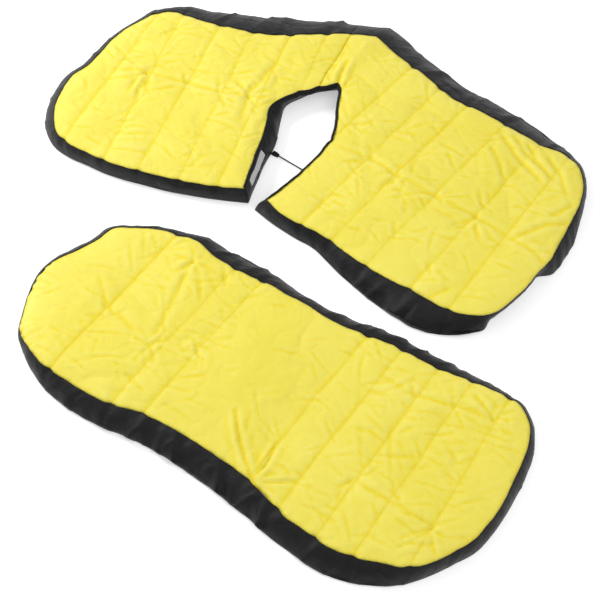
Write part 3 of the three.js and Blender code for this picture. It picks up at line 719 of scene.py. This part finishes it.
OBJ = {}
for tag in ("seat", "back"):
    P = PANELS[tag]
    co, F, db, ds = P["co"], P["F"], P["db"], P["ds"]
    Fc, Vc, dbc, dsc = P["Fc"], P["Vc"], P["dbc"], P["dsc"]
    if tag == "seat":
        ml, mr = split_faces(P, F, P["V"])
        cl, cr_ = split_faces(P, Fc, Vc)
        masks = {"seat_left": (ml, cl), "seat_right": (mr, cr_)}
    else:
        masks = {"back": (np.ones(len(F), bool), np.ones(len(Fc), bool))}
    N = vertex_normals(co, F)
    # painted shade: the deepest folds are coloured a darker yellow
    cr = SEAT_CREASES if tag == "seat" else BACK_CREASES
    dark = np.zeros(len(co))
    for pl, a, w in cr:
        if a < -3:
            Q = np.array(pl, float)
            d = seg_dist(co[:, :2], Q[:-1], Q[1:])
            dark = np.maximum(dark, 0.95 * np.exp(-(d / 4.5) ** 2) * min(1, -a / 5))
    # painted shade along the stitching: darker in patches along a few stitch lines, and a little along all of them
    heavy = [P["lines"][i] for i in ((2, 4, 10, 12) if tag == "seat" else (0, 3))]
    A = np.vstack([l[:-1] for l in heavy]); B = np.vstack([l[1:] for l in heavy])
    dh = seg_dist(co[:, :2], A, B)
    dark = np.maximum(dark, 0.9 * np.exp(-(dh / 3.6) ** 2) * np.clip(0.45 + 1.4 * fbm(co[:, 0], co[:, 1], 60, 71), 0, 1))
    dark = np.maximum(dark, (0.30 + 0.35 * np.clip(fbm(co[:, 0], co[:, 1], 45, 73), 0, 1)) * np.exp(-(ds / 2.6) ** 2))
    # painted shade and painted highlight: cloth lying lower than its surroundings is coloured a deeper, darker yellow,
    # cloth lying higher a paler, lighter one
    sm = co[:, 2].copy()
    for _ in range(3):
        acc, cnt = np.zeros(len(co)), np.zeros(len(co))
        for i0_, i1_ in ((0, 1), (1, 2), (2, 0)):
            np.add.at(acc, F[:, i0_], sm[F[:, i1_]])
            np.add.at(cnt, F[:, i0_], 1)
            np.add.at(acc, F[:, i1_], sm[F[:, i0_]])
            np.add.at(cnt, F[:, i1_], 1)
        sm = acc / np.maximum(cnt, 1)
    rel = (sm - co[:, 2]) * np.clip(db / 8, 0, 1)
    dark = np.clip(np.maximum(dark, 0.62 * np.clip(rel / 0.75, 0, 1)) - 0.45 * np.clip(-rel / 0.75, 0, 1), -0.6, 0.9)
    dark = 0.4 + np.where(dark > 0, 0.6, 0.65) * dark
    for part, (mask, maskc) in masks.items():
        used, f = sub(co, F, mask)
        top = co[used]
        t = 0.9
        bot = top - N[used] * t
        nm = {"seat_left": "seat_face_left_cloth", "seat_right": "seat_face_right_cloth", "back": "back_face_cloth"}[part]
        ob = slab(nm, top, bot, f)
        paint_shade_highlight_attr(ob, dark[used])
        paint(ob, YELLOW)
        OBJ[part + "_face"] = ob
        # lining: quilted through the same stitches, a little slacker
        usedc, fc = sub(Vc, Fc, maskc)
        xy, dbk, dsk, zt = Vc[usedc], dbc[usedc], dsc[usedc], P["zc"][usedc]
        lz = np.minimum(28.6 - 3.2 * (1 - np.exp(-dsk / 22.0)) * np.clip(dbk / 18, 0, 1) + 0.8 * fbm(xy[:, 0], xy[:, 1], 30, 91, 3) * np.clip(dsk / 8, 0, 1), zt - 6.5)
        ltop = np.c_[xy, lz]
        lin = slab(nm.replace("face", "lining"), ltop, ltop - [0, 0, 0.7], fc)
        paint(lin, LINING)
        OBJ[part + "_lining"] = lin
        wt = np.c_[xy, zt - 3.4]
        wb = np.c_[xy, np.minimum(lz + 0.6, zt - 4.8)]
        wad = slab(nm.replace("face_", "").replace("_cloth", "_wadding"), wt, wb, fc)
        paint(wad, WADDING)
        OBJ[part + "_wadding"] = wad

PARTS = ("seat_left", "seat_right", "back")


# ------------------------------------------------------------------ skirts, hems, casings
def ring_normals(tab):
    p = tab["seam"]
    t = np.roll(p, -2, 0) - np.roll(p, 2, 0)
    t /= np.linalg.norm(t, axis=1)[:, None] + 1e-9
    return np.c_[t[:, 1], -t[:, 0]]


def u_between(tab, u0, u1):
    """Row numbers of the dense ring from station u0 on to u1, wrapping."""
    u, n = tab["u"], tab["n"]
    i0 = int(np.abs(u - u0).argmin())
    i1 = int(np.abs(u - u1).argmin())
    return list(range(i0, i1 + 1)) if i1 > i0 else list(range(i0, len(u))) + list(range(0, i1 + 1))


S_WALL = np.array([0, 0.04, 0.09, 0.16, 0.24, 0.33, 0.42, 0.51, 0.60, 0.69, 0.78, 0.86, 0.93])


def skirt_grid(tab, seed, lip_at=None, placed=()):
    """Points of the whole ring: wall from seam to toe, round the toe, and the hem band back in. (rows, columns, 3),
    with each row's tuck weight, arc length, outward normal and hem direction.
    """
    seam, foot, inner = tab["seam"], tab["foot"], tab["inner"]
    n = ring_normals(tab)
    r = ((foot - seam) * n).sum(1)
    arc = np.r_[0, np.cumsum(np.linalg.norm(np.diff(np.vstack([foot, foot[:1]]), axis=0), axis=1))]
    total = arc[-1]
    arc = arc[:-1]
    w = np.clip((6 - r) / 10, 0, 1)
    w = w * w * (3 - 2 * w)                      # 1 where the facing is tucked back under
    d = foot - seam
    out = np.where(r[:, None] >= 0, d, n)
    L = np.linalg.norm(d, axis=1)
    rows = []
    ang = 2 * np.pi * arc / total
    # closed-loop noise: walk round a circle so that the ends meet
    R = total / (2 * np.pi)
    cx, cy = R * np.cos(ang), R * np.sin(ang)

    def loopn(cell, sd, shift=0.0):
        a = ang + shift / R
        return fbm(R * np.cos(a), R * np.sin(a), cell, sd, 2)
    zs = tab["zs"] + 0.4
    slope = np.arctan2(L, 34.0)
    no, nz = np.cos(slope), np.sin(slope)
    nrm2 = np.where((r > 4)[:, None], d / (L[:, None] + 1e-9), n)
    cols = []
    # pleats: cloth lapping over itself, slack on one side and sharp on the other
    rng = np.random.default_rng(seed)
    pleats = [(float(arc[int(np.linalg.norm(foot - np.array(q[:2]), axis=1).argmin())]), 1.7 * q[2], q[3], q[4]) for q in placed]
    a_ = 30.0
    while a_ < total - 40:
        if all(abs(a_ - q[0]) > 34 for q in pleats):
            pleats.append((a_, rng.uniform(3.0, 7.5), rng.uniform(16, 40) * rng.choice([1, -1]), rng.uniform(-26, 26)))
        a_ += rng.uniform(38, 92)
    foldside = loopn(90, seed + 3)
    face_on = 0.30 + 0.70 * np.clip(0.5 - 1.4 * n[:, 1], 0, 1)      # the rear runs lie smoother than the front ones
    for s in S_WALL:
        g_n = s + 0.05 * math.sin(math.pi * s)
        z_n = zs - (zs - 4.4) * s ** 1.08
        g_t = 0 if s < 0.3 else (s - 0.3) / 0.7
        z_t = zs - 7.5 * min(1, s / 0.3) - (0 if s < 0.3 else 25.5 * ((s - 0.3) / 0.7))
        g = g_n * (1 - w) + g_t * w
        z = z_n * (1 - w) + z_t * w
        bulge = 2.6 * math.sin(math.pi * min(1, s * 1.05)) * (1 - w) + 1.0 * w * (1 if s < 0.3 else 1 - (s - 0.3) / 0.7)
        sh = 26 * s
        f1 = 1 - np.abs(loopn(64, seed + 1, sh)) * 2.6
        f1 = np.clip(f1, 0, 1) ** 2
        f2 = 1 - np.abs(loopn(38, seed + 5, -18 * s)) * 3.0
        f2 = np.clip(f2, 0, 1) ** 2
        broad = loopn(150, seed + 9, 10 * s)
        amp = (0.15 + 0.85 * s) * np.clip(L / 42, 0.25, 1.3)
        disp = (7.4 * f1 + 4.8 * f2 * (0.5 + 0.5 * foldside) + 4.4 * broad - 2.6) * amp * (1 - w) * (0.45 + 0.55 * face_on)
        pk = 0.55 * loopn(9, seed + 13) * math.exp(-s / 0.10) * (1 - w)
        pl = 0 * arc
        for a0, amp_, wd_, sl_ in pleats:
            t_ = ((arc - a0 - sl_ * (1 - s)) + total / 2) % total - total / 2
            t_ = t_ / wd_
            pl = pl + amp_ * np.where(t_ < 0, np.clip(1 + t_, 0, 1) ** 1.3, np.exp(-(t_ / 0.16) ** 2))
        off = bulge + disp * np.where(w > 0.5, 0.2, 1) + pk + pl * face_on * (0.25 + 0.75 * s) * (1 - w) * np.clip(L / 42, 0.1, 1.1)
        xy = seam + d * g[:, None] + nrm2 * (off * no)[:, None]
        zz = z + off * nz * (1 - w)
        cols.append(np.c_[xy, np.maximum(zz, 1.4)])
    # toe and hem
    e = (inner - foot)
    e /= np.linalg.norm(e, axis=1)[:, None] + 1e-9
    gather = loopn(11, seed + 21)
    gz = loopn(16, seed + 25)
    last = cols[-1]
    t1 = np.clip(1 - np.abs(loopn(64, seed + 1, 26)) * 2.6, 0, 1) ** 2
    t2 = np.clip(1 - np.abs(loopn(38, seed + 5, -18)) * 3.0, 0, 1) ** 2
    lip = np.exp(-(np.linalg.norm(foot - lip_at, axis=1) / 34) ** 2) if lip_at is not None else 0 * r
    toe = foot + nrm2 * (1.5 * t1 + 0.9 * t2 - 0.8 + 4.0 * lip)[:, None] * (1 - w)[:, None] * np.clip(L / 30, 0.2, 1)[:, None]
    cols.append(np.c_[toe + (last[:, :2] - toe) * 0.12, np.full(len(foot), 3.1) + 0.8 * np.clip(gz, 0, 1) + 9.0 * lip])
    cols.append(np.c_[toe + e * 0.9, np.full(len(foot), 1.5) + 7.0 * lip])
    B = np.linalg.norm(inner - foot, axis=1)
    for q in (0.12, 0.3, 0.5, 0.7, 0.88, 1.0):
        xy = toe + (inner - toe) * q + e * 0
        zz = 0.95 + (0.5 + 0.8 * np.clip(gather, -0.4, 1) + 0.8 * np.clip(gz, 0, 1)) * q ** 1.3
        cols.append(np.c_[xy, zz])
    G = np.stack(cols, 1)
    return G, w, arc, n, e


def strip_mesh(name, G, thick, inward):
    """Closed cloth strip from a grid (rows, columns, 3), given its thickness to the inward side."""
    R_, C_ = G.shape[:2]
    # surface normals from the grid
    du = np.gradient(G, axis=0)
    dv = np.gradient(G, axis=1)
    nn = np.cross(du, dv)
    nn /= np.linalg.norm(nn, axis=2)[:, :, None] + 1e-9
    back = G - nn * thick * inward
    if back[:, :, 2].min() < 0.25:
        back[:, :, 2] = np.maximum(back[:, :, 2], 0.25)
    V = np.vstack([G.reshape(-1, 3), back.reshape(-1, 3)])
    n = R_ * C_
    idx = np.arange(n).reshape(R_, C_)
    faces = []
    a, b, c, d = idx[:-1, :-1].ravel(), idx[1:, :-1].ravel(), idx[1:, 1:].ravel(), idx[:-1, 1:].ravel()
    for q in zip(a, b, c, d):
        faces.append(q)
    for q in zip(a, b, c, d):
        faces.append((q[3] + n, q[2] + n, q[1] + n, q[0] + n))
    for i in range(R_ - 1):
        faces.append((idx[i + 1, 0], idx[i, 0], idx[i, 0] + n, idx[i + 1, 0] + n))
        faces.append((idx[i, -1], idx[i + 1, -1], idx[i + 1, -1] + n, idx[i, -1] + n))
    for j in range(C_ - 1):
        faces.append((idx[0, j], idx[0, j + 1], idx[0, j + 1] + n, idx[0, j] + n))
        faces.append((idx[-1, j + 1], idx[-1, j], idx[-1, j] + n, idx[-1, j + 1] + n))
    return new_mesh(name, V * MM, faces)


def swept(name, path, side_vec, hw, hh, wob, seed, ring=10, caps=True):
    """Flattened tube along path (n,3): half width hw along side_vec, half height hh, with gathers of size wob."""
    n = len(path)
    arc = np.r_[0, np.cumsum(np.linalg.norm(np.diff(path, axis=0), axis=1))]
    th = np.arange(ring) * 2 * np.pi / ring
    P = np.zeros((n, ring, 3))
    for k, t in enumerate(th):
        c, s = math.cos(t), math.sin(t)
        q = 1 + wob * fbm(arc, arc * 0 + k * 3.1, 7.5, seed, 2)
        P[:, k, :2] = path[:, :2] + side_vec * (hw * c * q)[:, None]
        P[:, k, 2] = path[:, 2] + hh * s * q
    P[:, :, 2] = np.maximum(P[:, :, 2], 0.35)
    V = P.reshape(-1, 3)
    faces = []
    for i in range(n - 1):
        for k in range(ring):
            l = (k + 1) % ring
            faces.append((i * ring + k, i * ring + l, (i + 1) * ring + l, (i + 1) * ring + k))
    faces.append(tuple(range(ring))[::-1])
    faces.append(tuple((n - 1) * ring + k for k in range(ring)))
    ob = new_mesh(name, V * MM, faces)
    return ob


u_rear = float(seat["u"][int(np.linalg.norm(seat["seam"] - PANELS["seat"]["lines"][SPLIT_SEAT][-1], axis=1).argmin())])
u_apex = float(seat["u"][int(np.linalg.norm(seat["seam"] - PANELS["seat"]["lines"][SPLIT_SEAT][0], axis=1).argmin())])
print("split at stations", round(u_rear, 2), round(u_apex, 2))
RANGES = {"seat_left": (u_rear, u_apex), "seat_right": (u_apex, u_rear)}
for tag, tab, seed in (("seat", seat, 100), ("back", back, 200)):
    G, w, arc, nrm, e = skirt_grid(tab, seed, np.array([300.0, -206.0]) if tag == "seat" else None, PLACED[tag])
    for part in PARTS:
        if not part.startswith(tag):
            continue
        if part == "back":
            ids = list(range(len(tab["u"]))) + [0]
        else:
            ids = u_between(tab, *RANGES[part])
        g = G[ids]
        u = tab["u"][ids]
        if part == "seat_left":
            # the slit's left side shows the grey lining between its tape and its hem
            gap = (u > 20.45) & (u < 22.35)
            i0, i1 = np.nonzero(gap)[0][[0, -1]]
            c0, c1 = 3, 8
            patch = g[i0 - 1:i1 + 2, c0:c1 + 1]
            po = strip_mesh("slit_gusset_grey", patch, 0.7, 1)
            paint(po, LINING)
            OBJ["slit_gusset"] = po
        sk = strip_mesh(part + "_skirt_cloth", g, 0.8, 1)
        if part == "seat_left":
            # leave that gap open in the black cloth
            R_, C_ = g.shape[:2]
            keep = []
            n = R_ * C_
            for p_ in sk.data.polygons:
                vs = [v % n for v in p_.vertices]
                rr = [v // C_ for v in vs]
                cc = [v % C_ for v in vs]
                if min(rr) >= i0 and max(rr) <= i1 and min(cc) >= c0 and max(cc) <= c1:
                    continue
                keep.append(tuple(p_.vertices))
            vv = [tuple(v.co) for v in sk.data.vertices]
            bpy.data.objects.remove(sk, do_unlink=True)
            # close the rim of the opening
            rim = []
            for i in range(i0, i1):
                rim.append((i * C_ + c0, (i + 1) * C_ + c0, (i + 1) * C_ + c0 + n, i * C_ + c0 + n))
                rim.append(((i + 1) * C_ + c1, i * C_ + c1, i * C_ + c1 + n, (i + 1) * C_ + c1 + n))
            for j in range(c0, c1):
                rim.append((i0 * C_ + j + 1, i0 * C_ + j, i0 * C_ + j + n, i0 * C_ + j + 1 + n))
                rim.append((i1 * C_ + j, i1 * C_ + j + 1, i1 * C_ + j + 1 + n, i1 * C_ + j + n))
            used = sorted({v for f_ in keep + rim for v in f_})
            re = {v: k for k, v in enumerate(used)}
            sk = new_mesh(part + "_skirt_cloth", [vv[v] for v in used], [tuple(re[v] for v in f_) for f_ in keep + rim])
        paint(sk, BLACK)
        OBJ[part + "_skirt"] = sk
        # casing and gathers along the hem's inner edge
        ee = e[ids]
        cpath = np.c_[tab["inner"][ids] + ee * 7.2, np.full(len(ids), 3.6)]
        cs = swept(part + "_gathered_casing", cpath, ee, 7.0, 2.9, 0.34, seed + 40)
        paint(cs, BLACK)
        OBJ[part + "_casing"] = cs
        # tape along the notch and the slit: a folded binding over the panel's edge
        if tag == "seat":
            tr = u_between(tab, 20.0, u_apex) if part == "seat_left" else u_between(tab, u_apex, 39.0)
            P0, n0, ww = tab["seam"][tr], nrm[tr], w[tr]
            lo_z = 37.2 - (6.5 + 2.0 * ww)
            far = np.clip(1 - np.abs(tab["u"][tr] - 21.3) / 1.6, 0, 1) * 1.6
            prof = [(-2.6, 39.3, 0), (-1.0, 39.9, 0), (0.9, 39.2, 0), (2.0, 37.2, 0), (2.5, None, 0.5), (2.2, None, 1.0)]
            cols = []
            for dd, zz, q in prof:
                z = np.full(len(tr), zz) if zz is not None else 37.2 + (lo_z - 37.2) * q
                wob = 0.35 * fbm(arc[tr], arc[tr] * 0, 14, 400 + int(q * 10), 2)
                cols.append(np.c_[P0 + n0 * (dd + wob + far * (q + 0.4))[:, None], z + wob])
            tg = np.stack(cols, 1)
            tp = strip_mesh(part + "_edge_tape", tg, 0.9, 1)
            paint(tp, TAPE)
            OBJ[part + "_tape"] = tp


# ------------------------------------------------------------------ stitches: short thread lengths lying in the quilting lines
def stitches(name, lines, zoff=0.35, pitch=4.2, length=2.9, wid=0.55, hgt=0.45):
    V, F = [], []
    for pts in lines:
        seg = np.r_[0, np.cumsum(np.linalg.norm(np.diff(pts, axis=0), axis=1))]
        for s0 in np.arange(3.0, seg[-1] - 4.0, pitch):
            q = np.array([[np.interp(s, seg, pts[:, k]) for k in range(3)] for s in (s0, s0 + length / 2, s0 + length)])
            t = q[2] - q[0]
            t /= np.linalg.norm(t) + 1e-9
            sd = np.array([-t[1], t[0], 0])
            sd /= np.linalg.norm(sd) + 1e-9
            base = len(V)
            for k, (pp, sc, up) in enumerate(zip(q, (0.45, 1, 0.45), (-0.25, zoff, -0.25))):
                for cx_, cz_ in ((-1, 0), (-0.6, 1), (0.6, 1), (1, 0)):
                    V.append(pp + sd * cx_ * wid * 0.5 * sc + np.array([0, 0, up + cz_ * hgt * 0.6 * sc]))
            for r_ in range(2):
                for k in range(4):
                    l = (k + 1) % 4
                    F.append((base + r_ * 4 + k, base + r_ * 4 + l, base + r_ * 4 + 4 + l, base + r_ * 4 + 4 + k))
            F.append((base + 3, base + 2, base + 1, base))
            F.append((base + 8, base + 9, base + 10, base + 11))
    return new_mesh(name, np.array(V) * MM, F)


def line3(panel, L):
    ids = [int(np.linalg.norm(panel["V"] - p, axis=1).argmin()) for p in L]
    return panel["co"][ids]


for part, tag, idx in (("seat_right", "seat", range(0, 6)), ("seat_left", "seat", range(6, 13)), ("back", "back", range(8))):
    P = PANELS[tag]
    st = stitches(part + "_quilting_stitches", [line3(P, P["lines"][i]) for i in idx])
    paint(st, THREAD)
    OBJ[part + "_stitches"] = st

# ------------------------------------------------------------------ slit: tab and taut elastic
cord_a = np.array([-47.0, 383.1]) + SHIFT
cord_b = np.array([33.2, 319.6]) + SHIFT
mid = (cord_a + cord_b) / 2
DIA = 3.0


def cord_mesh(name, a, b, z, seed):
    k = 40
    t = np.linspace(0, 1, k)
    d = (b - a) / np.linalg.norm(b - a)
    path = np.c_[a + (b - a) * t[:, None], np.full(k, z)]
    sd = np.array([-d[1], d[0]])
    ob = swept(name, path, np.tile(sd, (k, 1)), DIA / 2, DIA / 2, 0.0, seed, ring=16)
    paint(ob, CORD)
    return ob, [tuple(p * MM) for p in path]


ca, pa = cord_mesh("slit_cord_left_half", cord_a, mid, 3.2, 7)
cb, pb = cord_mesh("slit_cord_right_half", mid, cord_b, 3.2, 8)
OBJ["cord_a"], OBJ["cord_b"] = ca, cb
tab_a = np.array([-57.8, 391.2]) + SHIFT
tab_b = np.array([-45.5, 382.0]) + SHIFT
td = (tab_b - tab_a) / np.linalg.norm(tab_b - tab_a)
ts = np.array([-td[1], td[0]])
rows = []
for t in np.linspace(0, 1, 9):
    c = tab_a + (tab_b - tab_a) * t
    hw_ = 5.2 - 1.6 * t ** 2
    lift = 0.4 * math.sin(3 * t)
    rows.append([(*(c + ts * hw_ * q), 6.0 + lift - 0.9 * abs(q) ** 3 - 1.3 * (t > 0.97)) for q in (-1, -0.85, -0.5, 0, 0.5, 0.85, 1)]
                + [(*(c + ts * hw_ * q), 0.7) for q in (1, 0.5, 0, -0.5, -1)])
TG = np.array(rows)
V_ = TG.reshape(-1, 3)
m_ = TG.shape[1]
F_ = []
for i in range(len(rows) - 1):
    for k in range(m_):
        l = (k + 1) % m_
        F_.append((i * m_ + k, (i + 1) * m_ + k, (i + 1) * m_ + l, i * m_ + l))
F_.append(tuple(range(m_)))
F_.append(tuple((len(rows) - 1) * m_ + k for k in range(m_))[::-1])
tb = new_mesh("slit_cord_tab_cloth", V_ * MM, F_)
paint(tb, TAPE)
OBJ["tab"] = tb

# ------------------------------------------------------------------ clean meshes, baked transforms, gusset and tab attached to seat_left, elastic parts given the cord, replaced CAD parts hidden
for key, ob in OBJ.items():
    me = ob.data
    me.validate()
    me.update()
for part in PARTS:
    for kind in ("face", "lining", "wadding", "skirt", "casing", "stitches", "tape"):
        if part + "_" + kind in OBJ:
            bind(OBJ[part + "_" + kind])
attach(OBJ["slit_gusset"], "seat_left")
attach(OBJ["tab"], "seat_left")
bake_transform(ca)
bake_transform(cb)

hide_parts("seat_face_left", "seat_face_bridge")
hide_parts("seat_face_right")
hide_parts("back_face_left", "back_face_right")
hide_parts("seat_lining_left", "seat_lining_bridge")
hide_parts("seat_lining_right")
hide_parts("back_lining_left", "back_lining_right")
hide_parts("seat_wadding_left", "seat_wadding_bridge")
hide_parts("seat_wadding_right")
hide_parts("back_wadding_left", "back_wadding_right")
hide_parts("seat_skirt_left", "seat_skirt_bridge", "seat_notch_facing_left", "seat_notch_facing_bridge",
            "seat_hem_band_left", "seat_hem_band_bridge", "seat_notch_hem_left", "seat_notch_hem_bridge")
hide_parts("seat_skirt_right", "seat_notch_facing_right", "seat_hem_band_right", "seat_notch_hem_right")
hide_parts("back_skirt_left", "back_skirt_right", "back_hem_band_left", "back_hem_band_right")
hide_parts("seat_hem_casing_left", "seat_rear_casing_bridge", "seat_notch_casing_bridge")
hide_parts("seat_hem_casing_right")
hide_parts("back_hem_casing_left", "back_hem_casing_right")
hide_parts("slit_cord_tab")
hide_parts("slit_cord")

for nm in ("seat_hem_elastic_left", "seat_hem_elastic_right", "seat_rear_elastic_bridge", "seat_notch_elastic_bridge", "back_hem_elastic_left", "back_hem_elastic_right"):
    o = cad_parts[nm]
    for i in range(max(1, len(o.material_slots))):
        if o.material_slots:
            o.material_slots[i].material = CORD
        else:
            o.data.materials.append(CORD)


# ------------------------------------------------------------------ floor, light, camera
fm, fnt, fb = mat_new("floor_white")
fb.inputs["Base Color"].default_value = (0.86, 0.86, 0.86, 1)
fb.inputs["Emission Color"].default_value = (1, 1, 1, 1)
fb.inputs["Emission Strength"].default_value = 0.42
fb.inputs["Roughness"].default_value = 0.9
fb.inputs["Specular IOR Level"].default_value = 0.1
bpy.ops.mesh.primitive_plane_add(size=14, location=(0, 0, -0.0005))
floor = bpy.context.object
floor.name = "floor"
floor.data.materials.append(fm)

wd = bpy.data.worlds.new("studio") if not scene.world else scene.world
scene.world = wd
wd.use_nodes = True
bg = wd.node_tree.nodes.get("Background") or wd.node_tree.nodes.new("ShaderNodeBackground")
bg.inputs[0].default_value = (1.0, 1.0, 1.0, 1)
bg.inputs[1].default_value = 0.54


def area_light(name, loc, target, size, power, colour=(1, 1, 1)):
    ld = bpy.data.lights.new(name, "AREA")
    ld.energy = power
    ld.size = size
    ld.color = colour
    lo = bpy.data.objects.new(name, ld)
    lo.location = loc
    dv = Vector(target) - Vector(loc)
    lo.rotation_euler = dv.to_track_quat("-Z", "Y").to_euler()
    scene.collection.objects.link(lo)
    return lo


area_light("key", (-2.1, 1.3, 1.6), (0, 0, 0), 0.8, 50)
area_light("fill", (1.6, -1.4, 2.8), (0, 0, 0), 2.4, 34)

cam_d = bpy.data.cameras.new("photo_camera")
cam_d.lens, cam_d.sensor_width = 85.8, 36.0
cam = bpy.data.objects.new("photo_camera", cam_d)
cam.location = (-0.022, -1.8167, 2.2244)
cam.rotation_euler = (math.radians(90 - 52.6), 0, 0)
scene.collection.objects.link(cam)
scene.camera = cam
scene.view_settings.view_transform = "Standard"
